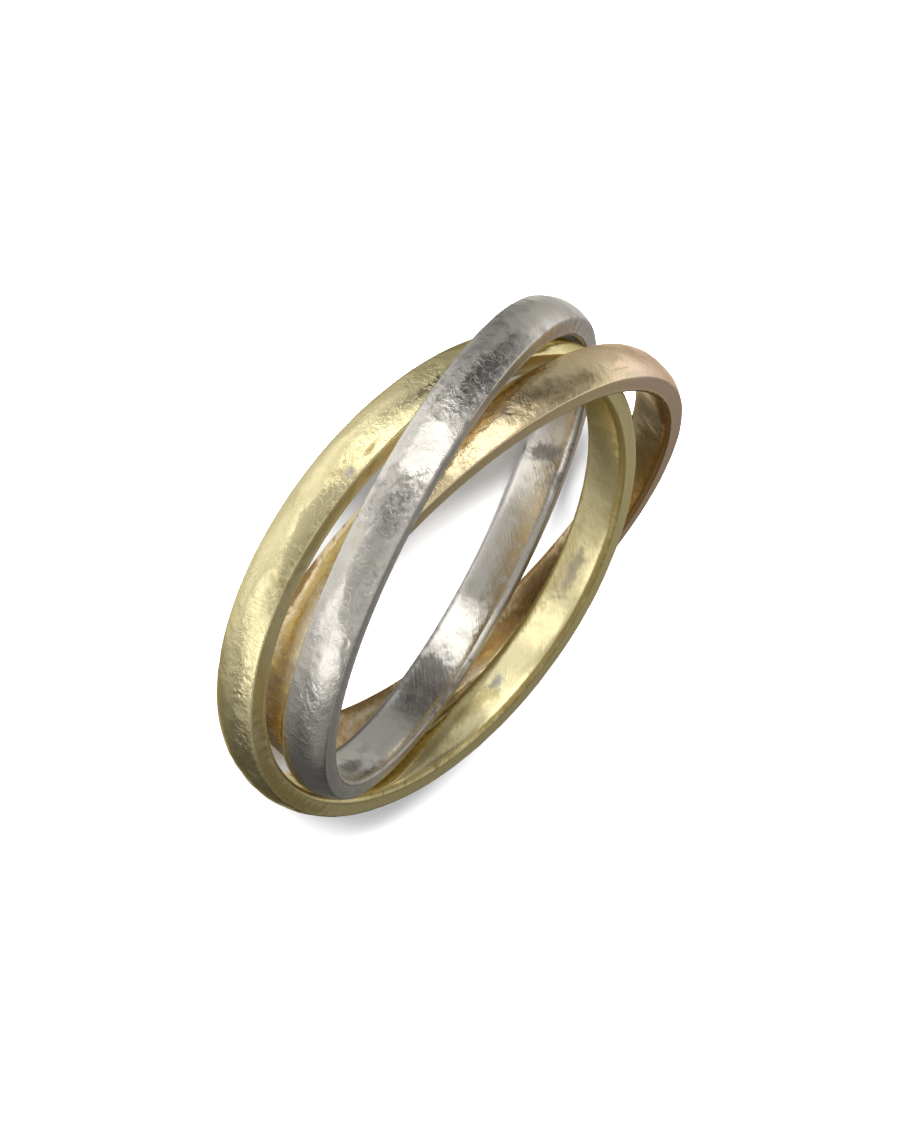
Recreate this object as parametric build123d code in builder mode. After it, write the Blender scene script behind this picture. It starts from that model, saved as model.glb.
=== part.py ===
from build123d import *
import os
from dataclasses import dataclass
from math import cos, radians, sin

# A rolling ring lying on its side: three equal bands of yellow, white and rose gold, each
# one passing through the other two. Every band is a full turn of one section, so it can
# roll in its own circle while the others stay where they are. Sizes are millimetres, +Z is
# up, the floor is Z = 0, and the origin is under the middle of the three bands together.

# The section that the three bands share
inner_diameter = 20.0
band_width = 2.1  # between the two flat side faces
side_thickness = 0.86  # of the band at its side faces
crown_thickness = 1.2  # of the band at the middle of its domed outside
inner_edge_radius = 0.09  # where the hole's wall meets the side faces

inner_radius = inner_diameter / 2
rim_radius = inner_radius + side_thickness
crown_radius = inner_radius + crown_thickness
half_width = band_width / 2


@dataclass
class Resting:
    """Where a band's middle is over the floor, and how its axis leans, in degrees."""

    x: float
    y: float
    lean: float  # from upright
    heading: float  # that the axis leans towards, from +X to +Y

    def plane(self):
        """The band's middle plane, as high as it is when its lower rim meets the floor."""
        lean, heading = radians(self.lean), radians(self.heading)
        height = rim_radius * sin(lean) + half_width * cos(lean)
        axis = (sin(lean) * cos(heading), sin(lean) * sin(heading), cos(lean))
        return Plane(origin=(self.x, self.y, height), z_dir=axis)


# The leans and headings keep the bands clear of each other by 0.05 mm or more
resting_bands = {
    "yellow_band": Resting(x=0.67, y=-0.58, lean=9.8, heading=-83.8),
    "white_band": Resting(x=-0.52, y=-1.38, lean=10.0, heading=137.1),
    "rose_band": Resting(x=-0.83, y=1.32, lean=10.7, heading=8.1),
}

os.makedirs("parts", exist_ok=True)

for label, resting in resting_bands.items():
    middle = resting.plane()
    # Radius runs along this plane's X, and the band's own axis along its Y
    section_plane = Plane(middle.origin, x_dir=middle.x_dir, z_dir=-middle.y_dir)

    with BuildPart() as band:
        with BuildSketch(section_plane) as section:
            with BuildLine():
                dome = ThreePointArc((rim_radius, -half_width), (crown_radius, 0), (rim_radius, half_width))
                Polyline(dome @ 1, (inner_radius, half_width), (inner_radius, -half_width), dome @ 0)
            make_face()
            fillet(section.vertices().group_by(Axis.X)[0], inner_edge_radius)
        revolve(axis=Axis(middle.origin, middle.z_dir))

    band.part.label = label
    export_step(band.part, f"parts/{label}.step")
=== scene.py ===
"""Looks for a rolling ring that lies on its side: three hammered gold bands, each through the other two.

The bands and the camera's place are in millimetres, as on the bench. The floor, the lights and the materials
are in metres. Every band has its own directions: along is the way round it, counted in degrees from its level
direction towards uphill, and across runs over its domed outside, from the lower rim to the upper.
"""

import logging
from dataclasses import dataclass
from enum import Enum
from functools import cached_property
from math import cos, pi, radians, sin

import bpy
import numpy as np
from mathutils import Matrix, Vector

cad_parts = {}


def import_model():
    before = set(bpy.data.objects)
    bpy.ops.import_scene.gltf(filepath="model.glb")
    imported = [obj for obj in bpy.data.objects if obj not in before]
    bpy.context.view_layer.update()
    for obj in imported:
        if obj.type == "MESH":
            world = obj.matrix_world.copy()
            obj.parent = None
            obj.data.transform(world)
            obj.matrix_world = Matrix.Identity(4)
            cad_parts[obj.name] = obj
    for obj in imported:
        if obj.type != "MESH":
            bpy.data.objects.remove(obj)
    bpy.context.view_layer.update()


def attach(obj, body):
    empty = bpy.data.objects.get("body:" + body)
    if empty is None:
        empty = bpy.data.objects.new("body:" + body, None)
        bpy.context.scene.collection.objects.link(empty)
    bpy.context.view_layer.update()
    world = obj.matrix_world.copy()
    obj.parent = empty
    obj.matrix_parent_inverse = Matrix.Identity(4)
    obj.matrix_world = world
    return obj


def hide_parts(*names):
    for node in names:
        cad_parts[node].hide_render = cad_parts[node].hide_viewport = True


LOG = logging.getLogger("rolling_ring")
Array, Fields = np.ndarray, dict[str, np.ndarray]
Pair, Triple = tuple[float, float], tuple[float, float, float]
MM = 0.001
MIX_FACTOR, MIX_FIRST, MIX_SECOND, MIX_RESULT = 0, 6, 7, 2  # a colour Mix node's own sockets
MARK_FALL, MARK_TEAR = 1.2, 0.35  # how steeply a mark ends, and how much noise tears its outline
GROOVE_ENDS = (0.08, 0.92)  # where along its line a groove starts and ends, as half a sine wave


class Zone(Enum):
    """The three kinds of surface on a band."""

    DOME = "dome"
    SIDE = "side"
    INSIDE = "inside"


class Texture(Enum):
    """The finishes' noises over a piece: scale per metre, detail, roughness and any distortion."""

    CLOUD = (900, 3, 0.5)
    FOLD = (3300, 3, 0.6, 0.9)
    CURL = (1250, 2, 0.5, 2.6)
    GRIT = (12000, 2, 0.5)
    WAVE = (700, 3, 0.5)
    SPECK = (5200, 3, 0.65)
    PAPER = (40, 2, 0.5)


class Tooling(Enum):
    """The finishes' noises that tools draw out: scale by direction of the lay, detail and roughness."""

    HAIR = ((5, 5, 22), 3, 0.6)
    STROKE = ((85, 85, 1.6), 3, 0.6)
    SMEAR = ((16, 16, 1.2), 4, 0.65)


class Threshold(Enum):
    """Where the soft step of a noise begins and where it ends."""

    CURL = (0.0, 0.045)
    SPECK = (0.50, 0.68)
    CLOUD = (0.46, 0.72)
    SMEAR = (0.42, 0.70)
    SMUDGE = (0.45, 0.72)


# --- Shader tools ---


class Wire:
    """A number that runs between nodes; sums and products of wires add Math nodes."""

    def __init__(self, bench: "Bench", socket: bpy.types.NodeSocket) -> None:
        """Wraps one output socket of a node on the bench."""
        self.bench, self.socket = bench, socket

    def _math(self, operation: str, first: "Wire | float", second: "Wire | float") -> "Wire":
        """Adds one Math node and gives its result."""
        return self.bench.add("ShaderNodeMath", {"operation": operation}, {0: first, 1: second})

    def __add__(self, other: "Wire | float") -> "Wire":
        """This plus other."""
        return self._math("ADD", self, other)

    def __sub__(self, other: "Wire | float") -> "Wire":
        """This minus other."""
        return self._math("SUBTRACT", self, other)

    def __rsub__(self, other: float) -> "Wire":
        """A plain number minus this."""
        return self._math("SUBTRACT", other, self)

    def __mul__(self, other: "Wire | float") -> "Wire":
        """This times other."""
        return self._math("MULTIPLY", self, other)

    def __abs__(self) -> "Wire":
        """This without its sign."""
        return self._math("ABSOLUTE", self, 0.0)

    __radd__ = __add__
    __rmul__ = __mul__


class Bench:
    """A node tree under work."""

    def __init__(self, tree: bpy.types.NodeTree) -> None:
        """Takes a node tree and empties it."""
        self.tree = tree
        tree.nodes.clear()

    def add(self, kind: str, settings: dict | None = None, sockets: dict | None = None,
            out: str | int = 0) -> Wire:
        """Adds one node.

        Args:
            kind: the node's type.
            settings: its own settings, set first.
            sockets: the value or wire of each input, by name or number.
            out: the output that is wanted, by name or number.

        Returns:
            That output as a wire.
        """
        node = self.tree.nodes.new(kind)
        for name, value in (settings or {}).items():
            setattr(node, name, value)
        for key, value in (sockets or {}).items():
            if isinstance(value, Wire):
                self.tree.links.new(value.socket, node.inputs[key])
            else:
                node.inputs[key].default_value = value
        return Wire(self, node.outputs[out])

    def close(self, shader: Wire, kind: str = "ShaderNodeOutputMaterial") -> None:
        """Ends the tree in an output node."""
        self.tree.links.new(shader.socket, self.tree.nodes.new(kind).inputs["Surface"])

    def attribute(self, name: str, out: str = "Fac") -> Wire:
        """Reads one of the mesh's own attributes."""
        return self.add("ShaderNodeAttribute", {"attribute_name": name}, out=out)

    def noise(self, place: Wire, scale: float, detail: float, roughness: float,
              distortion: float = 0.0) -> Wire:
        """Smooth noise from 0 to 1 over a place; distortion curls it."""
        return self.add("ShaderNodeTexNoise", None, {"Vector": place, "Scale": scale, "Detail": detail,
                                                     "Roughness": roughness, "Distortion": distortion})

    def drawn(self, lay: Wire, tooling: Tooling) -> Wire:
        """Noise from 0 to 1 that is drawn out along a lay."""
        scale, detail, roughness = tooling.value
        return self.noise(self.add("ShaderNodeVectorMath", {"operation": "MULTIPLY"}, {0: lay, 1: scale}),
                          1.0, detail, roughness)

    def step(self, value: Wire, low: float, high: float) -> Wire:
        """Soft step: 0 below low, 1 above high."""
        return self.add("ShaderNodeMapRange", {"interpolation_type": "SMOOTHSTEP"},
                        {"Value": value, "From Min": low, "From Max": high})

    def mix(self, factor: Wire, first: "Wire | tuple", second: "Wire | tuple") -> Wire:
        """Mixes two plain or wired colours: the first where the factor is 0, the second where it is 1."""
        return self.add("ShaderNodeMix", {"data_type": "RGBA"},
                        {MIX_FACTOR: factor, MIX_FIRST: first, MIX_SECOND: second}, out=MIX_RESULT)


# --- Section ---


@dataclass(frozen=True)
class Section:
    """The section that the three bands share, in millimetres: court, with a lightly crowned inside.

    It is the one in the part's own source with softer inner edges, and it stays inside that one.
    """

    inner_radius: float = 10.0
    rim_radius: float = 10.86
    crown_radius: float = 11.2
    half_width: float = 1.05
    edge_round: float = 0.12
    rim_round: float = 0.09
    side_taper: float = 0.05
    inside_crown: float = 0.02
    shoulder: float = 0.055
    flat_share: float = 0.6
    dome_steps: int = 24
    round_steps: int = 5
    side_steps: int = 4
    inside_steps: int = 9

    @property
    def dome_radius(self) -> float:
        """Radius of the circle through both rims and the crown."""
        rise = self.crown_radius - self.rim_radius
        return (self.half_width**2 + rise**2) / (2 * rise)

    @property
    def dome_width(self) -> float:
        """Length of that circle's arc from rim to rim."""
        return 2 * self.dome_radius * float(np.arcsin(self.half_width / self.dome_radius))

    def walk(self) -> Fields:
        """Goes once round the section: from the crown over the upper rim and back inside, then mirrored.

        The upper half is four circles and a straight: the dome, the rim's round inside the dome's circle,
        the side, which is tangent to both rounds, the inner edge's round, and the inside's wide circle,
        which the edge's round touches. A point on a circle = centre + radius (sin t, cos t), axial first,
        and t is also its normal's direction: 0 is outwards, 90 degrees the upper side. The inside then falls
        away towards both edges by shoulder x t^2, with t from the flat share to the edge.

        Returns:
            axial and radial place of each point, the direction in which its relief goes, its place across
            the dome, the share of the relief it takes, and 1 or 0 for dome, sides and inner edges.
        """
        dome, edge, rim = self.dome_radius, self.edge_round, self.rim_round
        wide = self.half_width**2 / (2 * self.inside_crown)
        rim_axial, edge_axial = self.half_width - self.side_taper - rim, self.half_width - edge
        lean, turn = np.arcsin(rim_axial / (dome - rim)), pi - np.arcsin(edge_axial / (wide - edge))
        dome_middle, wide_middle = self.crown_radius - dome, self.inner_radius + wide
        rim_radial = dome_middle + (dome - rim) * np.cos(lean)
        edge_radial = wide_middle + (wide - edge) * np.cos(turn)
        away = np.hypot(rim_axial - edge_axial, rim_radial - edge_radial)
        flat = np.arctan2(rim_axial - edge_axial, rim_radial - edge_radial) + np.arccos((edge - rim) / away)

        def arc(axial: float, radial: float, radius: float, angles: Array) -> Array:
            """Points on a circle as rows of axial, radial and t."""
            return np.stack([axial + radius * np.sin(angles), radial + radius * np.cos(angles), angles], 1)

        rounds = self.round_steps
        dome_part = arc(0, dome_middle, dome, np.linspace(0, lean, self.dome_steps)[:-1])
        rim_part = arc(rim_axial, rim_radial, rim, np.linspace(lean, flat, rounds))
        edge_part = arc(edge_axial, edge_radial, edge, np.linspace(flat, turn, rounds))
        wide_part = arc(0, wide_middle, wide, np.linspace(turn, pi, self.inside_steps)[1:])
        share = (0.5 - 0.5 * np.cos(np.linspace(0, pi, self.side_steps + 2)[1:-1]))[:, None]
        parts = {
            Zone.DOME: np.concatenate([dome_part, rim_part]),
            Zone.SIDE: rim_part[-1] + (edge_part[0] - rim_part[-1]) * share,
            Zone.INSIDE: np.concatenate([edge_part, wide_part]),
        }
        upper = np.concatenate(list(parts.values()))
        zones = np.repeat([zone.value for zone in parts], [len(rows) for rows in parts.values()])
        edges = np.concatenate([np.zeros(self.dome_steps + rounds + self.side_steps - 1),
                                np.ones(rounds), np.zeros(self.inside_steps - 1)])
        axial, radial, tilt = np.concatenate([upper, upper[-2:0:-1] * (-1, 1, -1)]).T
        zones, edges = (np.concatenate([values, values[-2:0:-1]]) for values in (zones, edges))
        on_dome, side, reach = zones == Zone.DOME.value, zones == Zone.SIDE.value, dome * lean
        side_top, side_foot = rim_part[-1, 1], edge_part[0, 1]
        across = np.clip(dome * np.arctan2(axial, radial - dome_middle), -reach, reach)
        down = np.clip(side_top - radial, 0, side_top - side_foot)
        across = np.where(on_dome, across, np.sign(axial) * (reach + down))
        taken = np.where(on_dome, 1, np.where(side, (radial - side_foot) / (side_top - side_foot), 0))
        past_flat = (np.abs(axial) / self.half_width - self.flat_share) / (1 - self.flat_share)
        radial = radial + self.shoulder * np.clip(past_flat, 0, 1) ** 2 * (1 - taken)
        slope, kept = np.clip(tilt, -lean, lean), np.clip((flat - np.abs(tilt)) / (flat - lean), 0, 1)
        return {
            "axial": axial, "radial": radial, "across": across, "taken": taken,
            "normal_axial": np.where(side, 0, np.sin(slope) * kept),
            "normal_radial": np.where(side, 1, np.cos(slope)),
            "dome": on_dome.astype(float), "side": side.astype(float), "edge": edges,
        }


SECTION = Section()


# --- Hammered relief ---


class Row:
    """One line of a table of numbers."""

    @classmethod
    def table(cls, *rows: tuple) -> tuple:
        """One object of the class for each row of its numbers."""
        return tuple(cls(*row) for row in rows)


@dataclass(frozen=True)
class Mark(Row):
    """An oval place on a band; angles in degrees, lengths in millimetres.

    The amount is a hammer blow's depth in millimetres, or how crinkled or smooth a place is, how strongly
    stained places and painted reflections show, or how far places are dulled and darkened with painted shade.
    """

    angle: float
    across: float
    length: float
    width: float
    amount: float
    turn: float = 0.0


@dataclass(frozen=True)
class Groove(Row):
    """A thin line from one place to another, bowed sideways."""

    angle: float
    across: float
    to_angle: float
    to_across: float
    width: float
    depth: float
    bow: float = 0.0


def soft_step(value: Array, low: float, high: float) -> Array:
    """3t^2 - 2t^3, where t runs from 0 at low to 1 at high."""
    t = np.clip((value - low) / (high - low), 0, 1)
    return t * t * (3 - 2 * t)


def short_way(degrees: Array) -> Array:
    """The same turns as angles from -180 to 180 degrees."""
    return (degrees + 180) % 360 - 180


@dataclass(frozen=True)
class Surface:
    """The points of one face of a band: degrees along it and millimetres across it, at one radius."""

    radius: float
    angle: Array
    across: Array

    @property
    def along(self) -> Array:
        """Millimetres along the band."""
        return radians(1) * self.radius * self.angle

    def away(self, angle: float, across: float) -> tuple[Array, Array]:
        """Millimetres along and across from one place to every point, the short way round."""
        return radians(1) * self.radius * short_way(self.angle - angle), self.across - across

    def offsets(self, mark: Mark) -> tuple[Array, Array]:
        """Place of every point in a mark's own, turned directions.

        Args:
            mark: the mark.

        Returns:
            The places along and across the mark, in units of its half length and half width.
        """
        dx, dy = self.away(mark.angle, mark.across)
        c, s = cos(radians(mark.turn)), sin(radians(mark.turn))
        return (dx * c + dy * s) / (mark.length / 2), (dy * c - dx * s) / (mark.width / 2)

    def marked(self, marks: tuple[Mark, ...], ragged: Array) -> Array:
        """How strongly marks show: the greatest of amount x exp(-fall d^4), with d in half sizes.

        Args:
            marks: the marks.
            ragged: noise about 0, which tears their outlines.

        Returns:
            One value for each point, next to 0 away from all marks.
        """
        total = np.zeros(ragged.shape)
        for mark in marks:
            distance = np.hypot(*self.offsets(mark)) * (1 + MARK_TEAR * ragged)
            total = np.maximum(total, mark.amount * np.exp(-MARK_FALL * distance**4))
        return total

    def grooved(self, groove: Groove) -> Array:
        """Depth of one groove: depth x exp(-(distance / width)^2) from a line bowed as a parabola.

        Args:
            groove: the groove.

        Returns:
            Its depth at each point, in millimetres.
        """
        dx, dy = self.away(groove.angle, groove.across)
        ex, ey = radians(1) * self.radius * (groove.to_angle - groove.angle), groove.to_across - groove.across
        reach = ex * ex + ey * ey
        t = np.clip((dx * ex + dy * ey) / reach, 0, 1)
        bow = 4 * groove.bow * t * (1 - t) / reach**0.5
        distance = np.hypot(dx - t * ex + bow * ey, dy - t * ey - bow * ex)
        profile = np.exp(-((distance / groove.width) ** 2))
        return groove.depth * profile * np.sin(pi * np.clip(t, *GROOVE_ENDS))


class Grain:
    """Seeded random fields over a face of a band, which close on themselves along it."""

    MARGIN, SPARE_ROWS = 1.0, 3  # millimetres and lattice rows past the rims, for places pushed about
    GAIN = 1.5  # brings the noise to about -1 to 1

    def __init__(self, seed: int, length: float, width: float) -> None:
        """Takes a seed, and the length and width of the surface in millimetres."""
        self.rng = np.random.default_rng(seed)
        self.length, self.width = length, width

    def noise(self, along: Array, across: Array, cell: float, stretch: float = 1.0) -> Array:
        """Gradient noise: at each lattice point a random slope, joined by quintic steps.

        Args:
            along: places along the band, in millimetres.
            across: places across it, in millimetres.
            cell: the lattice's step across the band.
            stretch: how many times longer its step along the band is.

        Returns:
            One value for each place.
        """
        columns = max(4, round(self.length / (cell * stretch)))
        rows = int(np.ceil((self.width + 2 * self.MARGIN) / cell)) + self.SPARE_ROWS
        slope = self.rng.uniform(0, 2 * pi, (columns, rows))
        x, y = along / self.length * columns, (across + self.width / 2 + self.MARGIN) / cell
        i, j = np.floor(x).astype(int), np.clip(np.floor(y).astype(int), 0, rows - 2)
        fx, fy = x - i, y - j
        sx, sy = (f * f * f * (f * (6 * f - 15) + 10) for f in (fx, fy))
        total = np.zeros(np.broadcast(x, y).shape)
        for di in (0, 1):
            for dj in (0, 1):
                a = slope[(i + di) % columns, j + dj]
                weight = (sx if di else 1 - sx) * (sy if dj else 1 - sy)
                total += weight * (np.cos(a) * (fx - di) + np.sin(a) * (fy - dj))
        return total * self.GAIN


@dataclass(frozen=True)
class HandFinish:
    """What the hammering of all domes has in common; lengths are millimetres, pairs lowest and highest."""

    blow_count: int = 84
    blow_shift: float = 0.45
    blow_spread: float = 0.42
    blow_length: Pair = (1.3, 3.2)
    blow_width: Pair = (0.9, 1.7)
    blow_share: Pair = (0.4, 1.0)
    blow_depth: float = 0.034
    blow_turn: float = 22.0
    hollow_power: float = 1.2
    hollow_tear: float = 0.22
    torn_cell: float = 0.45
    swells: tuple[Triple, ...] = ((0.010, 2.2, 1.6), (0.011, 0.8, 1.4))
    push: float = 0.28
    push_cell: float = 0.5
    fold_cell: Pair = (0.42, 1.2)
    small_fold: float = 0.5
    small_fold_cell: float = 0.2
    fold_gain: float = 1.6
    patchy_cell: Pair = (1.1, 1.5)
    patchy_step: Pair = (0.05, 0.6)
    patchy_share: float = 0.4
    crinkle_share: float = 0.22
    crinkle_depth: float = 0.016
    calming: float = 0.85
    rim_share: float = 0.40
    rim_reach: float = 0.4
    set_in: float = 0.012
    deepest: float = 0.09
    mark_tear: float = 1.6


@dataclass(frozen=True)
class HammeredDome:
    """The relief of one band's outside, as a depth under the smooth dome, and the marks on it."""

    seed: int
    blows: tuple[Mark, ...] = ()
    grooves: tuple[Groove, ...] = ()
    crinkles: tuple[Mark, ...] = ()
    smooths: tuple[Mark, ...] = ()
    stains_and_reflections: tuple[Mark, ...] = ()
    dulls_and_shades: tuple[Mark, ...] = ()
    radius: float = SECTION.crown_radius
    width: float = SECTION.dome_width
    hand: HandFinish = HandFinish()

    def scattered(self, grain: Grain) -> list[Mark]:
        """Hammer blows all round: evenly spaced along, with random places across, sizes and turns.

        Args:
            grain: the source of the random numbers.

        Returns:
            The blows.
        """
        hand, rng, count = self.hand, grain.rng, self.hand.blow_count
        angles = (np.arange(count) + rng.uniform(-hand.blow_shift, hand.blow_shift, count)) * 360 / count
        acrosses = rng.uniform(-hand.blow_spread, hand.blow_spread, count) * self.width
        lengths, widths = rng.uniform(*hand.blow_length, count), rng.uniform(*hand.blow_width, count)
        depths = rng.uniform(*hand.blow_share, count) * hand.blow_depth
        turns = rng.normal(0, hand.blow_turn, count)
        return [Mark(*values) for values in zip(angles, acrosses, lengths, widths, depths, turns)]

    def hollows(self, surface: Surface, grain: Grain, ragged: Array) -> Array:
        """The deepest of the hammer's hollows at each point, each depth x (1 - d^2)^power.

        Args:
            surface: the dome's points.
            grain: the source of the random numbers.
            ragged: noise about 0, which tears the hollows' outlines.

        Returns:
            Depths in millimetres.
        """
        depth = np.zeros(ragged.shape)
        for blow in [*self.scattered(grain), *self.blows]:
            x, y = surface.offsets(blow)
            inside = np.clip(1 - x * x - y * y + self.hand.hollow_tear * ragged, 0, 1)
            depth = np.maximum(depth, blow.amount * inside**self.hand.hollow_power)
        return depth

    def fields(self, angle: Array, across: Array) -> Fields:
        """Works out the relief and the masks that go with it.

        Depth = the hammer's hollows + slow swells + crinkles, which are folds |noise| of a place that is
        itself pushed about by noise, + grooves. All of it fades to the rim's share at both rims.

        Args:
            angle: degrees along the band, a column.
            across: millimetres across the dome, a row.

        Returns:
            depth in millimetres, and masks from 0 to 1: the crinkles, the stained places with the painted
            reflections, and the dulled places with the painted shade.
        """
        hand, grain = self.hand, Grain(self.seed, 2 * pi * self.radius, self.width)
        surface = Surface(self.radius, *np.broadcast_arrays(angle, across))
        along, across = surface.along, surface.across
        ragged = grain.noise(along, across, hand.torn_cell)
        depth = self.hollows(surface, grain, ragged)
        depth = depth + sum(height * grain.noise(along, across, *size) for height, *size in hand.swells)
        push_x, push_y = (hand.push * grain.noise(along, across, hand.push_cell) for _ in range(2))
        folds = np.abs(grain.noise(along + push_x, across + push_y, *hand.fold_cell))
        folds += hand.small_fold * np.abs(grain.noise(along - push_y, across + push_x, hand.small_fold_cell))
        patchy = soft_step(grain.noise(along, across, *hand.patchy_cell), *hand.patchy_step)
        placed, calm = surface.marked(self.crinkles, ragged), surface.marked(self.smooths, ragged)
        crinkle = np.clip(hand.crinkle_share + hand.patchy_share * patchy + placed, 0, 1)
        crinkle = crinkle * (1 - hand.calming * np.clip(calm, 0, 1))
        depth = depth + hand.crinkle_depth * crinkle * (1 - folds * hand.fold_gain)
        for groove in self.grooves:
            depth = depth + surface.grooved(groove)
        fade = soft_step(self.width / 2 - np.abs(across), 0.0, hand.rim_reach)
        depth = np.clip(depth + hand.set_in, 0, hand.deepest) * (hand.rim_share + (1 - hand.rim_share) * fade)
        torn = ragged * hand.mark_tear + folds
        return {"depth": depth, "crinkle": crinkle,
                "stain_and_reflection": surface.marked(self.stains_and_reflections, torn), "dull_and_shade": surface.marked(self.dulls_and_shades, torn)}


@dataclass(frozen=True)
class InsideMarks:
    """Marks that wearing and polishing left on one band's inside, with painted reflections among the stained
    places and painted shade among the dulled ones; across is then the place along the band's axis.
    """

    seed: int
    stains_and_reflections: tuple[Mark, ...] = ()
    dulls_and_shades: tuple[Mark, ...] = ()
    radius: float = SECTION.inner_radius
    width: float = 2 * SECTION.half_width
    torn_cells: tuple[float, ...] = (0.4, 0.15)

    def fields(self, angle: Array, across: Array) -> Fields:
        """Works out the masks of the inside, with outlines torn by noise.

        Args:
            angle: degrees along the band, a column.
            across: millimetres along its axis, a row.

        Returns:
            masks from 0 to 1 for the stained places with the painted reflections and for the dulled places
            with the painted shade.
        """
        surface = Surface(self.radius, *np.broadcast_arrays(angle, across))
        grain = Grain(self.seed, 2 * pi * self.radius, self.width)
        torn = sum(grain.noise(surface.along, surface.across, cell) for cell in self.torn_cells)
        return {"stain_and_reflection": surface.marked(self.stains_and_reflections, torn), "dull_and_shade": surface.marked(self.dulls_and_shades, torn)}


# --- Bands ---


def closed_mesh(name: str, points: Array) -> bpy.types.Mesh:
    """Makes a smooth mesh of a grid of points that closes on itself in both directions.

    Args:
        name: the mesh's name.
        points: columns x rows x 3, in millimetres.

    Returns:
        The mesh, in metres.
    """
    columns, rows = points.shape[:2]
    i, j = np.meshgrid(np.arange(columns), np.arange(rows), indexing="ij")
    k, m = (i + 1) % columns, (j + 1) % rows
    faces = np.stack([i * rows + j, k * rows + j, k * rows + m, i * rows + m], -1).reshape(-1, 4)
    mesh = bpy.data.meshes.new(name)
    mesh.vertices.add(columns * rows)
    mesh.vertices.foreach_set("co", (points.reshape(-1, 3) * MM).ravel())
    mesh.loops.add(faces.size)
    mesh.loops.foreach_set("vertex_index", faces.ravel())
    mesh.polygons.add(len(faces))
    mesh.polygons.foreach_set("loop_start", np.arange(0, faces.size, 4))
    mesh.update(calc_edges=True)
    mesh.polygons.foreach_set("use_smooth", np.ones(len(faces), bool))
    return mesh


def store(mesh: bpy.types.Mesh, name: str, values: Array) -> None:
    """Keeps a number for each vertex, or a vector where the grid of values is three deep."""
    kind, key = ("FLOAT_VECTOR", "vector") if values.ndim == 3 else ("FLOAT", "value")
    mesh.attributes.new(name, kind, "POINT").data.foreach_set(key, np.ascontiguousarray(values).ravel())


@dataclass
class Band:
    """One band where it rests: its middle over the floor, its axis' lean, its relief and its finish."""

    name: str
    body: str
    slot: str
    x: float
    y: float
    lean: float
    heading: float
    relief: HammeredDome
    inside_marks: InsideMarks
    finish: "GoldFinish"
    columns: int = 1120
    blush_at: float = 52.0
    blush_half: float = 55.0
    blush_soft: float = 15.0
    skew: float = 0.14

    @cached_property
    def walk(self) -> Fields:
        """The walk round the section, as rows."""
        return SECTION.walk()

    @cached_property
    def angle(self) -> Array:
        """Degrees along the band, as a column."""
        return np.arange(self.columns)[:, None] * 360 / self.columns

    def directions(self) -> tuple[Array, Array, Array, Array]:
        """Works out how the band lies; its lower rim meets the floor.

        Returns:
            Middle, axis, level direction and uphill direction.
        """
        lean, heading = radians(self.lean), radians(self.heading)
        height = SECTION.rim_radius * sin(lean) + SECTION.half_width * cos(lean)
        axis = np.array([sin(lean) * cos(heading), sin(lean) * sin(heading), cos(lean)])
        level = np.array([-sin(heading), cos(heading), 0.0])
        return np.array([self.x, self.y, height]), axis, level, np.cross(axis, level)

    def skin(self, depth: Array) -> Array:
        """Places the band's points.

        Point (u, s) = middle + axial(s) axis + radial(s) (cos u level + sin u uphill), moved in by the
        relief's depth along the section's normal.

        Args:
            depth: how far each point is moved in, in millimetres.

        Returns:
            columns x rows x 3, in millimetres.
        """
        middle, axis, level, uphill = self.directions()
        axial = self.walk["axial"] - depth * self.walk["normal_axial"]
        radial = self.walk["radial"] - depth * self.walk["normal_radial"]
        turn = np.radians(self.angle)
        out = np.cos(turn)[..., None] * level + np.sin(turn)[..., None] * uphill
        return middle + axial[..., None] * axis + radial[..., None] * out

    def masks(self, relief: Fields) -> Fields:
        """Works out where each zone and each kind of mark is.

        Args:
            relief: the fields of the dome's relief.

        Returns:
            Grids from 0 to 1, or rows that hold for every angle.
        """
        dome, side, edge = (self.walk[zone] for zone in ("dome", "side", "edge"))
        inside, wear_and_painted_light = 1 - dome - side, self.inside_marks.fields(self.angle, self.walk["axial"][None, :])
        off = np.abs(short_way(self.angle - self.blush_at))
        blush = 1 - soft_step(off, self.blush_half - self.blush_soft, self.blush_half + self.blush_soft)
        return {
            "dome": dome, "side": side, "edge": edge, "crinkle": relief["crinkle"] * dome,
            "blush": (1 - inside) * blush,
            **{kind: relief[kind] * (1 - inside) + wear_and_painted_light[kind] * inside for kind in ("stain_and_reflection", "dull_and_shade")},
        }

    def lay(self, skew: float) -> Array:
        """Coordinates for tool marks: cos and sin of a turn along the band, and the length round its section.

        Args:
            skew: by how much the marks run askew, in radians per millimetre.

        Returns:
            A grid of vectors.
        """
        axial, radial = self.walk["axial"], self.walk["radial"]
        length = np.hypot(np.diff(axial, prepend=axial[0]), np.diff(radial, prepend=radial[0])).cumsum()
        turn = np.radians(self.angle) - skew * length
        return np.stack(np.broadcast_arrays(np.cos(turn), np.sin(turn), length), -1)

    def build(self) -> bpy.types.Object:
        """Builds the band's mesh with its attributes and material.

        Returns:
            The finished piece.
        """
        relief = self.relief.fields(self.angle, self.walk["across"][None, :])
        points = self.skin(relief["depth"] * self.walk["taken"])
        mesh = closed_mesh(self.name, points)
        for name, values in self.masks(relief).items():
            store(mesh, name, np.broadcast_to(values, points.shape[:2]))
        store(mesh, "lay", self.lay(0.0))
        store(mesh, "askew", self.lay(self.skew))
        mesh.validate()
        piece = bpy.data.objects.new(f"{self.name}_hammered", mesh)
        bpy.context.scene.collection.objects.link(piece)
        mesh.materials.append(self.finish.build(self.slot))
        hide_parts(self.name)
        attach(piece, self.body)
        return piece


# --- Finishes ---


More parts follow.
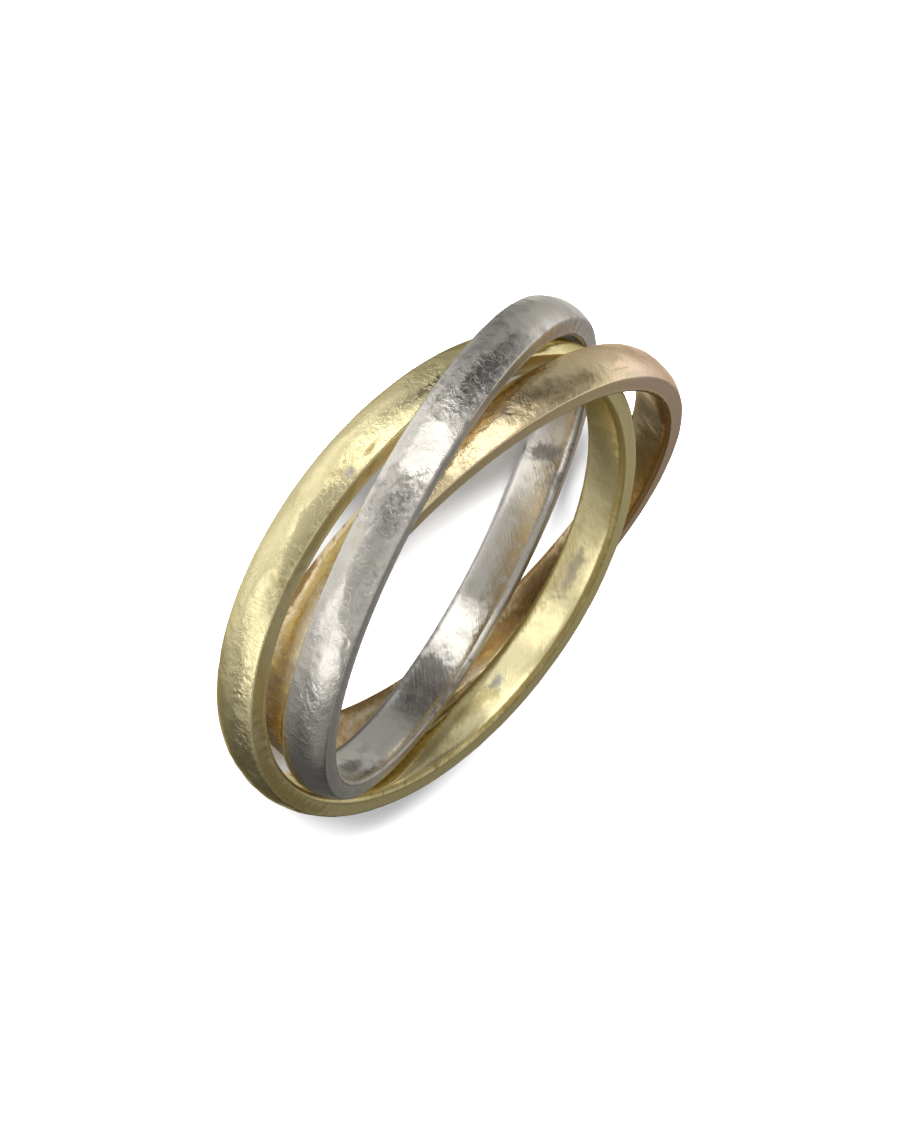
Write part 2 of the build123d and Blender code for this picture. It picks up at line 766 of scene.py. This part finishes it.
class Traces:
    """What varies over a band, as wires: its zones, the marks on it and its finishes' noises."""

    def __init__(self, b: Bench) -> None:
        """Adds the nodes that read or make each of them to a material's bench."""
        self.bench = b
        place, lay = b.add("ShaderNodeTexCoord", out="Object"), b.attribute("lay", "Vector")
        self.dome, self.side, self.edge = (b.attribute(name) for name in ("dome", "side", "edge"))
        self.crinkle, self.stain_and_reflection, self.dull_and_shade = (b.attribute(name) for name in ("crinkle", "stain_and_reflection", "dull_and_shade"))
        self.blush, self.inside = b.attribute("blush"), 1 - self.dome - self.side
        self.cloud = b.noise(place, *Texture.CLOUD.value)
        self.cloudy = b.step(self.cloud, *Threshold.CLOUD.value)
        self.fold = abs(b.noise(place, *Texture.FOLD.value) - 0.5)
        self.curl = 1 - b.step(abs(b.noise(place, *Texture.CURL.value) - 0.5), *Threshold.CURL.value)
        self.grit = b.noise(place, *Texture.GRIT.value)
        self.wave = b.noise(place, *Texture.WAVE.value)
        self.speck = b.step(b.noise(place, *Texture.SPECK.value), *Threshold.SPECK.value)
        self.hair = b.drawn(lay, Tooling.HAIR)
        self.stroke = b.drawn(b.attribute("askew", "Vector"), Tooling.STROKE)
        smear = b.drawn(lay, Tooling.SMEAR)
        self.smeared, self.smudged = (b.step(smear, *to.value) for to in (Threshold.SMEAR, Threshold.SMUDGE))


@dataclass(frozen=True)
class Darkening:
    """How far each kind of wearing, and the painted shade on the dome, the sides and the inner edges, takes
    the colour towards the shade colour, from 0 to 1.
    """

    speck: float = 0.05
    # specks in crinkled places darken more: painted shade in the folds
    crinkled_speck: float = 0.20
    cloud: float = 0.26
    # the dulled places, darkened with painted shade
    dull_and_shade: float = 0.62
    dull_and_shade_speck: float = 0.30
    inside_dull_and_shade: float = 0.65
    stroke: float = 2.4e5
    bright_stroke: float = 0.4
    smear: float = 0.14
    # how far the dulled places' painted shade darkens the sides
    side_dull_and_shade: float = 0.60
    side_speck: float = 0.10
    # painted shade along the inner edges
    edge: float = 0.45
    # stained places and the painted reflections laid on with them
    stain_and_reflection: float = 0.55
    stain_and_reflection_speck: float = 0.45


@dataclass(frozen=True)
class Roughening:
    """How much each kind of wearing adds to the roughness."""

    cloud: float = 0.16
    crinkled_speck: float = 0.06
    dull_and_shade: float = 0.08
    hair: float = 0.08
    stroke: float = 0.10
    inside_dull_and_shade: float = 0.12
    stain_and_reflection: float = 0.32
    edge: float = 0.28


@dataclass(frozen=True)
class Unevenness:
    """How high the fine unevenness of each zone is, in metres."""

    grit: float = 1.6e-6
    fold: float = 2.2e-6
    crinkled_fold: float = 13e-6
    curl: float = 1e-6
    crinkled_curl: float = 8e-6
    hair: float = 0.8e-6
    side_hair: float = 0.6e-6
    side_grit: float = 0.9e-6
    side_wave: float = 3e-6
    inside_hair: float = 1.0e-6
    inside_wave: float = 28e-6


@dataclass(frozen=True)
class GoldFinish:
    """A gold alloy: satin on the hammered outside, brushed on the sides and polished inside."""

    colour: Triple
    shade: Triple
    grazing: Triple
    # colour of stained places and of the painted reflections laid on with them
    stain_and_reflection: Triple
    blush: Triple | None = None
    satin: float = 0.19
    brushed: float = 0.34
    polished: float = 0.12
    smudge: float = 0.10
    scratch: float = 2.5e-6
    # painted shade that darkens the sides
    painted_side_shade: float = 0.2
    darkening: Darkening = Darkening()
    roughening: Roughening = Roughening()
    unevenness: Unevenness = Unevenness()

    def toned(self, t: Traces) -> Wire:
        """Colour: the alloy, darker with painted shade in the crinkles' folds, in the dulled places, on the
        sides and along the inner edges, and where wearing shows; of another tone where stained and where
        painted reflections are laid on.

        Args:
            t: what varies over the band.

        Returns:
            The colour.
        """
        b, d = t.bench, self.darkening
        # Dome: random specks and clouds, painted shade in the crinkles' folds and in the dulled places.
        wear_and_painted_light = t.dome * ((d.speck + d.crinkled_speck * t.crinkle) * t.speck + d.cloud * t.cloudy
                         + t.dull_and_shade * (d.dull_and_shade + d.dull_and_shade_speck * t.speck))
        strokes = self.scratch * d.stroke * (t.stroke - d.bright_stroke)
        # Inside: painted shade in the dulled places, with scratches and smears.
        wear_and_painted_light = wear_and_painted_light + t.inside * (t.dull_and_shade * (d.inside_dull_and_shade + strokes) + d.smear * t.smeared)
        # Sides: painted shade, more in the dulled places.
        wear_and_painted_light = wear_and_painted_light + t.side * (self.painted_side_shade + d.side_dull_and_shade * t.dull_and_shade + d.side_speck * t.speck)
        # Painted shade along the inner edges.
        wear_and_painted_light = wear_and_painted_light + d.edge * t.edge
        clean = b.mix(t.blush, (*self.colour, 1), (*(self.blush or self.colour), 1))
        toned = b.mix(b.step(wear_and_painted_light, 0.0, 1.0), clean, (*self.shade, 1))
        # Stained places and painted highlights and reflections, in their own colour.
        return b.mix(t.stain_and_reflection * (d.stain_and_reflection + d.stain_and_reflection_speck * t.speck), toned, (*self.stain_and_reflection, 1))

    def rough(self, t: Traces) -> Wire:
        """Roughness: by zone, with clouds on the dome, hairlines on the sides and smudges inside.

        Args:
            t: what varies over the band.

        Returns:
            The roughness.
        """
        r = self.roughening
        rough = t.dome * (self.satin + r.cloud * (t.cloud - 0.5) + r.crinkled_speck * t.crinkle * t.speck
                          + r.dull_and_shade * t.dull_and_shade)
        rough = rough + t.side * (self.brushed + r.hair * (t.hair - 0.5))
        rough = rough + t.inside * (self.polished + self.smudge * t.smudged + r.stroke * (t.stroke - 0.5)
                                    + r.inside_dull_and_shade * t.dull_and_shade)
        return rough + r.stain_and_reflection * t.stain_and_reflection + r.edge * t.edge

    def uneven(self, t: Traces) -> Wire:
        """Height for the bump: matt grain and folds on the dome, hairlines on the sides, scratches inside.

        Args:
            t: what varies over the band.

        Returns:
            The height in metres.
        """
        u = self.unevenness
        height = t.dome * (u.grit * t.grit + (u.fold + u.crinkled_fold * t.crinkle) * t.fold
                           + (u.curl + u.crinkled_curl * t.crinkle) * t.curl + u.hair * t.hair)
        height = height + t.side * (u.side_hair * t.hair + u.side_grit * t.grit + u.side_wave * t.wave)
        return height + t.inside * (u.inside_hair * t.hair + self.scratch * (1 + t.dull_and_shade) * t.stroke
                                    + u.inside_wave * t.wave)

    def build(self, name: str) -> bpy.types.Material:
        """Makes the material.

        Args:
            name: the material's name.

        Returns:
            The finished material.
        """
        material = bpy.data.materials.new(name)
        material.use_nodes = True
        b = Bench(material.node_tree)
        t = Traces(b)
        bump = {"Height": self.uneven(t), "Distance": 1.0, "Strength": 1.0}
        b.close(b.add("ShaderNodeBsdfPrincipled", None, {
            "Base Color": self.toned(t), "Roughness": self.rough(t), "Metallic": 1.0,
            "Normal": b.add("ShaderNodeBump", None, bump, "Normal"), "Specular Tint": (*self.grazing, 1),
        }, "BSDF"))
        return material


# The colour for stained places also paints reflections: yellow's grey paints a reflected shadowed floor
# inside, white's warm and rose's pale tones paint highlights. The side amount paints shade on the sides.
YELLOW_GOLD = GoldFinish(colour=(0.885, 0.785, 0.455), shade=(0.41, 0.32, 0.12),
                         grazing=(0.85, 0.74, 0.42), stain_and_reflection=(0.40, 0.40, 0.43), painted_side_shade=0.3)
WHITE_GOLD = GoldFinish(colour=(0.73, 0.695, 0.625), shade=(0.26, 0.245, 0.23), grazing=(0.88, 0.86, 0.82),
                        stain_and_reflection=(0.80, 0.745, 0.62), smudge=0.18, scratch=5e-6, painted_side_shade=0.26)
ROSE_GOLD = GoldFinish(colour=(0.96, 0.785, 0.48), shade=(0.33, 0.20, 0.08), grazing=(0.88, 0.74, 0.56),
                       stain_and_reflection=(0.98, 0.89, 0.70), blush=(0.94, 0.73, 0.59), painted_side_shade=0.1)


# --- Stage ---


def heading(azimuth: float, height: float) -> Triple:
    """Unit direction from degrees round from +X and degrees above the floor."""
    a, h = radians(azimuth), radians(height)
    return (cos(a) * cos(h), sin(a) * cos(h), sin(h))


@dataclass(frozen=True)
class Glow(Row):
    """A round lighter or darker part of the surround; the angles run from its middle, in degrees."""

    azimuth: float
    height: float
    full: float
    edge: float
    bright: float


@dataclass(frozen=True)
class Strip(Row):
    """A tall softbox far away, or a dark panel, between two directions; sizes are degrees."""

    low: Pair
    high: Pair
    full: float
    edge: float
    bright: float
    end: float = 14.0


@dataclass
class Studio:
    """Pale floor, soft light all round, and the camera at the photograph's angle."""

    eye: Triple = (0.0871, -220.9377, 85.7786)
    look: Triple = (-0.001357, 0.936447, -0.350806)
    roll: float = 124.842
    lens: float = 185.68
    sensor: float = 36.0
    clip: Pair = (0.01, 20.0)
    floor_half: float = 3.0
    floor_drop: float = 1e-5
    paper: Pair = (0.80, 0.83)
    surround: float = 0.38
    bounces: int = 8
    key_size: float = 0.09
    key_distance: float = 0.6
    keys: tuple[tuple[Triple, float], ...] = (((-0.74, -2.72, 1.0), 20.0), ((-0.15, -4.02, 1.0), 21.0))
    glows: tuple[Glow, ...] = Glow.table(
        (0, -90, 20, 48, 0.47), (285, 15, 25, 75, 0.2), (290, 56, 14, 40, 0.2), (290, -36, 12, 40, 0.22),
        (55, -8, 25, 58, -0.26), (128, 8, 12, 48, 0.34), (93, -27, 6, 28, 0.56), (90, 90, 10, 42, 0.08),
        (345, 10, 6, 30, 0.45), (326, -46, 12, 36, 0.36), (20, -50, 10, 38, 0.16), (104, -56, 8, 26, -0.26),
        (163, -22, 8, 28, 0.08), (74, -40, 6, 24, 0.15), (42, 42, 12, 44, -0.07), (241, -54, 9, 28, 0.58),
        (206, 36, 8, 30, 0.2), (283, -38, 4, 13, 0.85), (268, -40, 3, 11, 0.25), (210, -40, 8, 24, 0.34),
        (140, 15, 8, 30, 0.24), (144, 7, 4, 16, 0.3), (146, 30, 6, 20, 0.3), (29, 16, 4, 18, 0.2),
        (219, 0, 5, 15, 0.5), (186, 31, 6, 20, -0.16),
    )
    strips: tuple[Strip, ...] = Strip.table(
        ((246, -28), (228, 42), 8, 20, 1.6), ((320, -26), (338, 22), 6, 21, 0.85),
        ((203, -18), (196, 2), 8, 20, -0.26, 10), ((132, 42), (132, 75), 8, 16, 0.6),
        ((30, 48), (30, 75), 8, 16, 0.4),
    )

    def place_camera(self) -> None:
        """Puts the camera at its eye, turned to its line of sight and rolled about that line."""
        look = Vector(self.look).normalized()
        level = look.cross(Vector((0, 0, 1))).normalized()
        up = level.cross(look)
        turn = radians(self.roll)
        right, top = level * cos(turn) + up * sin(turn), up * cos(turn) - level * sin(turn)
        data = bpy.data.cameras.new("camera")
        data.lens, data.sensor_width = self.lens, self.sensor
        data.clip_start, data.clip_end = self.clip
        camera = bpy.data.objects.new("camera", data)
        rows = Matrix((right, top, -look)).transposed()
        camera.matrix_world = Matrix.Translation(Vector(self.eye) * MM) @ rows.to_4x4()
        bpy.context.scene.collection.objects.link(camera)
        bpy.context.scene.camera = camera

    def lay_floor(self) -> None:
        """Lays a flat matt floor just under the rims; mirrors don't show it."""
        half, drop = self.floor_half, -self.floor_drop
        mesh = bpy.data.meshes.new("floor")
        square = [(-half, -half, drop), (half, -half, drop), (half, half, drop), (-half, half, drop)]
        mesh.from_pydata(square, [], [(0, 1, 2, 3)])
        floor = bpy.data.objects.new("floor", mesh)
        bpy.context.scene.collection.objects.link(floor)
        material = bpy.data.materials.new("pale_paper")
        material.use_nodes = True
        b = Bench(material.node_tree)
        cloud = b.noise(b.add("ShaderNodeTexCoord", out="Object"), *Texture.PAPER.value)
        tone = b.mix(cloud, *((grey, grey, grey, 1) for grey in self.paper))
        b.close(b.add("ShaderNodeBsdfDiffuse", None, {"Color": tone}))
        mesh.materials.append(material)
        floor.visible_glossy = False
        floor.visible_shadow = False

    def light_world(self) -> None:
        """Makes the world: an even surround, with its glows and the strips added."""
        world = bpy.data.worlds.new("studio")
        bpy.context.scene.world = world
        world.use_nodes = True
        b = Bench(world.node_tree)
        way = b.add("ShaderNodeTexCoord", out="Generated")

        def facing(direction: Triple | Vector) -> Wire:
            """Cosine of the angle between the view's direction and another."""
            unit = tuple(Vector(direction).normalized())
            return b.add("ShaderNodeVectorMath", {"operation": "DOT_PRODUCT"}, {0: way, 1: unit}, "Value")

        bright = self.surround
        for glow in self.glows:
            off = facing(heading(glow.azimuth, glow.height))
            bright = bright + glow.bright * b.step(off, cos(radians(glow.edge)), cos(radians(glow.full)))
        for strip in self.strips:
            low, high = Vector(heading(*strip.low)), Vector(heading(*strip.high))
            beam = abs(facing(low.cross(high)))
            beam = 1 - b.step(beam, sin(radians(strip.full)), sin(radians(strip.edge)))
            half = low.angle(high) / 2
            ends = b.step(facing(low + high), cos(half + radians(strip.end)), cos(half))
            bright = bright + strip.bright * (beam * ends)
        b.close(b.add("ShaderNodeBackground", None, {"Strength": bright}), "ShaderNodeOutputWorld")

    def hang_keys(self) -> None:
        """Hangs the keys: softboxes that light the floor and that mirrors don't show."""
        for number, (direction, power) in enumerate(self.keys, 1):
            data = bpy.data.lights.new(f"key_{number}", "AREA")
            data.shape, data.size, data.energy = "SQUARE", self.key_size, power
            lamp = bpy.data.objects.new(data.name, data)
            away = Vector(direction).normalized()
            turned = away.to_track_quat("Z", "Y").to_matrix().to_4x4()
            lamp.matrix_world = Matrix.Translation(away * self.key_distance) @ turned
            lamp.visible_glossy = False
            bpy.context.scene.collection.objects.link(lamp)

    def build(self) -> None:
        """Sets up camera, floor, lights and plain colours."""
        self.place_camera()
        self.lay_floor()
        self.light_world()
        self.hang_keys()
        bpy.context.scene.view_settings.view_transform = "Standard"
        bpy.context.scene.cycles.glossy_bounces = self.bounces


# --- The ring, marked as in the photograph ---

YELLOW_DOME = HammeredDome(
    11,
    blows=Mark.table(
        (240, 0.35, 3.4, 1.4, 0.03, 8), (252, 0.35, 2.4, 1.2, 0.028, -10), (262, -0.4, 2.6, 1.3, 0.028, 12),
        (294, 0.35, 5, 1.1, 0.032, 10), (276, -0.2, 3.8, 1.4, 0.03, 4), (300, -0.35, 3, 1.2, 0.03, -8),
    ),
    grooves=Groove.table(
        (263.8, -0.55, 268, 0.3, 0.03, 0.012, 0.1), (226, -0.2, 229, 0.5, 0.05, 0.014, 0.1),
        (305.5, 0.75, 308.5, 0.35, 0.04, 0.016, -0.12), (308, 0.85, 311, 0.5, 0.04, 0.016, 0.12),
        (310, 0.4, 313, 0.55, 0.04, 0.014, 0.1), (321, 0.45, 326, 0.45, 0.05, 0.018, 0.35),
        (295, -0.1, 304, 0.15, 0.06, 0.012, -0.15), (243, 0.1, 251, -0.15, 0.05, 0.012, -0.12),
    ),
    crinkles=Mark.table(
        (227, 0.1, 1.8, 1.6, 0.6), (247, 0.35, 3.2, 1.1, 0.2), (308, 0.5, 2.2, 1.1, 1),
        (324, 0.6, 1.6, 0.8, 0.9), (278, 0.95, 6, 0.3, 0.3), (299, 0.05, 2.4, 0.7, 0.6),
    ),
    smooths=Mark.table((200, 0, 9, 3, 0.8), (272, -0.5, 4, 0.9, 0.7), (318, -0.3, 3, 1.2, 0.8)),
    stains_and_reflections=Mark.table((256, 0.72, 0.75, 0.4, 1)),
    # Darkened places that paint shade and dark reflections; those at 1.25 across reach over the upper side.
    dulls_and_shades=Mark.table(
        (249, 0.68, 1.5, 0.24, 1, 4), (254, 0.35, 2.6, 1.1, 0.5), (278, 0.88, 5.6, 0.5, 0.55),
        (228, -0.5, 2.2, 1.3, 0.35), (312, -0.2, 3.6, 1.5, 0.15), (240, -0.6, 2.2, 0.7, 0.22),
        (345, 1.25, 11, 1, 0.8), (266, 1.25, 8, 0.8, 0.6),
    ),
)
YELLOW_INSIDE_MARKS = InsideMarks(
    5,
    # At 105 degrees a grey painted reflection of the shadowed floor inside the ring, darkened further; the
    # other darkened places paint shade with some wearing, along both edges too.
    stains_and_reflections=Mark.table((72, -0.1, 0.75, 0.6, 1), (105, -0.05, 2.6, 0.7, 0.55)),
    dulls_and_shades=Mark.table(
        (105, -0.05, 3, 0.75, 1), (108, -0.5, 6, 0.7, 0.8), (69, 0.1, 0.8, 0.8, 0.8),
        (63.5, -0.1, 3.4, 0.75, 0.8), (84, -0.85, 14, 0.38, 1), (92, 0.95, 16, 0.22, 0.8),
        (122, 0, 9, 3, 0.5), (146, 0.5, 13, 3, 0.7), (98, 0.1, 2, 0.5, 0.25), (49, 0.3, 2.8, 1, 0.6),
        (80, 0.55, 3.5, 0.45, 0.35), (109, 0.3, 2.5, 0.5, 0.35),
    ),
)
WHITE_DOME = HammeredDome(
    23,
    blows=Mark.table(
        (28.5, -0.1, 3, 2.2, 0.07), (70, -0.35, 6, 1.1, 0.03, 8), (63, 0.7, 5.4, 0.8, 0.028, 5),
        (-15, 0.1, 5, 1.9, 0.018), (53, 0.78, 0.45, 0.3, 0.018), (78, 0.35, 2.6, 1, 0.028, 10),
        (46, -0.55, 2.6, 1, 0.028, -6), (40, 0.4, 2.2, 1.2, 0.03, 8), (6, 0.5, 3, 1.3, 0.03, -8),
    ),
    grooves=Groove.table(
        (34.3, -0.85, 34.8, 0.2, 0.05, 0.016, -0.06), (31.5, 1, 35.5, 0.25, 0.04, 0.016, 0.08),
        (33.5, 0.9, 37.5, 0.1, 0.04, 0.012, -0.08), (4, 0.95, 12, 0.25, 0.05, 0.016, 0.1),
        (15.5, 0.35, 17.5, -0.5, 0.05, 0.016, -0.12), (18, 0.1, 16.5, -0.75, 0.05, 0.014, 0.12),
        (70.5, 0.45, 74.5, 0.5, 0.05, 0.018, 0.35), (65.5, -0.1, 79, 0.25, 0.03, 0.009, -0.1),
        (83.5, -0.3, 86, 0.25, 0.04, 0.018, 0.15), (86, 0.35, 89, -0.05, 0.04, 0.018, 0.15),
        (87, -0.35, 90, -0.1, 0.04, 0.016, -0.12), (89.5, 0.3, 92, -0.2, 0.04, 0.016, 0.15),
    ),
    crinkles=Mark.table(
        (8, 0.45, 4.4, 1.4, 0.65), (17, -0.1, 1.6, 1.8, 0.9), (39, 0.5, 2.4, 1.2, 0.7),
        (46, -0.55, 2.4, 0.8, 0.4), (87, 0.05, 2.4, 1.4, 0.5), (99, 0, 3, 2, 0.2),
        (57, 0.75, 1.8, 0.5, 0.7),
    ),
    smooths=Mark.table(
        (-22, 0, 7, 3, 0.9), (28, 0, 2.3, 1.7, 0.72), (62, -0.45, 4.4, 0.9, 0.8), (76, 0.1, 2.8, 1.1, 0.8),
    ),
    stains_and_reflections=Mark.table((51, -0.55, 2.2, 0.7, 0.8), (53.5, 0.78, 0.4, 0.25, 0.9), (42, -0.5, 1.5, 0.5, 0.4)),
    # Darkened places that paint shade and dark reflections with some wearing; those past 1.2 across reach
    # over the upper side.
    dulls_and_shades=Mark.table(
        (43, 0.45, 3.6, 1.4, 0.75), (7, 0.45, 6, 1.3, 0.95), (4, -0.5, 9, 1.1, 0.55), (91, 0, 3, 2.2, 0.3),
        (55, 0.6, 3.2, 0.8, 0.5), (66, 0.8, 3.2, 0.5, 0.3), (42, -0.45, 3.4, 1.2, 0.75),
        (38.5, 0, 1.6, 1.6, 0.35), (112, 1.25, 16, 0.9, 0.5), (6, 1.35, 22, 1.1, 0.6),
        (70, 1.25, 22, 0.7, 0.5), (28.5, 0, 2.2, 1.6, 0.35),
    ),
)
WHITE_INSIDE_MARKS = InsideMarks(
    6,
    # At 266 degrees a warm painted highlight; the darkened places paint shade.
    stains_and_reflections=Mark.table((266, 0.35, 1.2, 0.6, 0.9)),
    dulls_and_shades=Mark.table(
        (193.5, 0, 3, 2.6, 1), (259, 0, 0.9, 1.9, 1.1, -25), (219, -0.7, 0.9, 0.45, 0.5),
        (228, 0.2, 3, 1.2, 0.3), (149.5, 0.12, 2.8, 0.75, 1.35), (163, -0.2, 1.2, 0.5, 0.5),
        (171, 0.3, 4, 0.35, 0.2), (166, -0.95, 12, 0.2, 0.8), (198, -0.25, 1.25, 1.3, 1.5),
        (253.5, 0.8, 0.9, 0.4, 0.8),
    ),
)
ROSE_DOME = HammeredDome(
    37,
    blows=Mark.table(
        (104, 0.45, 2.6, 1.2, 0.026), (124, 0.3, 3.4, 1.4, 0.03), (149, 0.3, 3.2, 1.4, 0.036, 10),
        (160, 0, 2.6, 1.4, 0.026, -12), (113, -0.4, 3, 1.3, 0.026, 6),
    ),
    grooves=Groove.table(
        (134.5, 0.6, 137.5, 0.35, 0.04, 0.016, 0.12), (137, 0.9, 140, 0.55, 0.04, 0.016, -0.12),
        (139.5, 0.3, 142, 0, 0.05, 0.018, 0.1), (144, 0.95, 147, 0.55, 0.035, 0.012, 0.05),
        (149, 0.85, 153, 0.35, 0.035, 0.012, -0.05), (146, 0.1, 150, 0, 0.035, 0.012, 0.05),
    ),
    crinkles=Mark.table((138, 0.6, 1.4, 0.8, 0.3), (195, 0.4, 3.6, 1, 0.5)),
    smooths=Mark.table((98, 0, 6, 3, 0.7), (128, 0.1, 5, 2, 0.6)),
    # Pale painted highlights: at the rim near 102 degrees and between the yellow and white bands.
    stains_and_reflections=Mark.table((102.5, 0.92, 2.6, 0.3, 0.8), (204, 0.3, 8, 0.62, 1, 8), (222, 0.5, 9, 1.4, 0.7)),
    # Darkened places that paint shade: those near -1 across are the dark line along the yellow band's edge,
    # the one at 231 degrees the shade between the bands.
    dulls_and_shades=Mark.table(
        (127, 0.5, 5, 0.8, 0.7), (138, 0.1, 3, 0.9, 0.2), (108, 0.6, 1.6, 0.15, 0.4),
        (95, 0.1, 1.5, 0.12, 0.35), (203, -1.05, 10, 0.75, 1.6, 4), (231, 0.4, 7, 1.6, 1.2),
        (129, 0.8, 1.6, 0.35, 0.8), (198, -0.85, 4, 0.55, 1.4, 4),
    ),
)
ROSE_INSIDE_MARKS = InsideMarks(
    7,
    # Pale painted highlights, among them the streaks near 290 degrees and the spot at 329.
    stains_and_reflections=Mark.table(
        (55.5, 0.1, 0.3, 0.9, 1, 20), (57.2, -0.1, 0.25, 0.7, 0.9, -14), (66, -0.1, 1, 0.8, 0.5),
        (288.5, 0.2, 1.3, 0.35, 0.7, -38), (297.5, -0.35, 2.2, 0.28, 1, -6), (329, 0.8, 1.6, 0.5, 0.9, -20),
    ),
    # Darkened places that paint shade, along the upper edge too.
    dulls_and_shades=Mark.table(
        (357, 0, 4.6, 3, 1.1), (318, 0, 3, 3, 0.7), (44, 0.4, 6, 2, 0.95), (292, 0, 8, 4, 0.85),
        (300, -0.85, 5, 0.6, 1.2), (70, 0.8, 4, 0.8, 1.2), (38, 0.95, 22, 0.3, 0.9),
    ),
)
BANDS = (
    Band("yellow_band", "yellow", "yellow_gold", x=0.67, y=-0.58, lean=9.8, heading=-83.8,
         relief=YELLOW_DOME, inside_marks=YELLOW_INSIDE_MARKS, finish=YELLOW_GOLD),
    Band("white_band", "white", "white_gold", x=-0.52, y=-1.38, lean=10.0, heading=137.1,
         relief=WHITE_DOME, inside_marks=WHITE_INSIDE_MARKS, finish=WHITE_GOLD),
    Band("rose_band", "rose", "rose_gold", x=-0.83, y=1.32, lean=10.7, heading=8.1,
         relief=ROSE_DOME, inside_marks=ROSE_INSIDE_MARKS, finish=ROSE_GOLD),
)


def main() -> None:
    """Builds the bands in their frame and the stage round them, and notes the sizes."""
    logging.basicConfig(level=logging.INFO, format="%(name)s: %(message)s")
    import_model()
    for band in BANDS:
        piece = band.build()
        LOG.info("%s: %d faces", piece.name, len(piece.data.polygons))
    Studio().build()


if __name__ == "__main__":
    main()
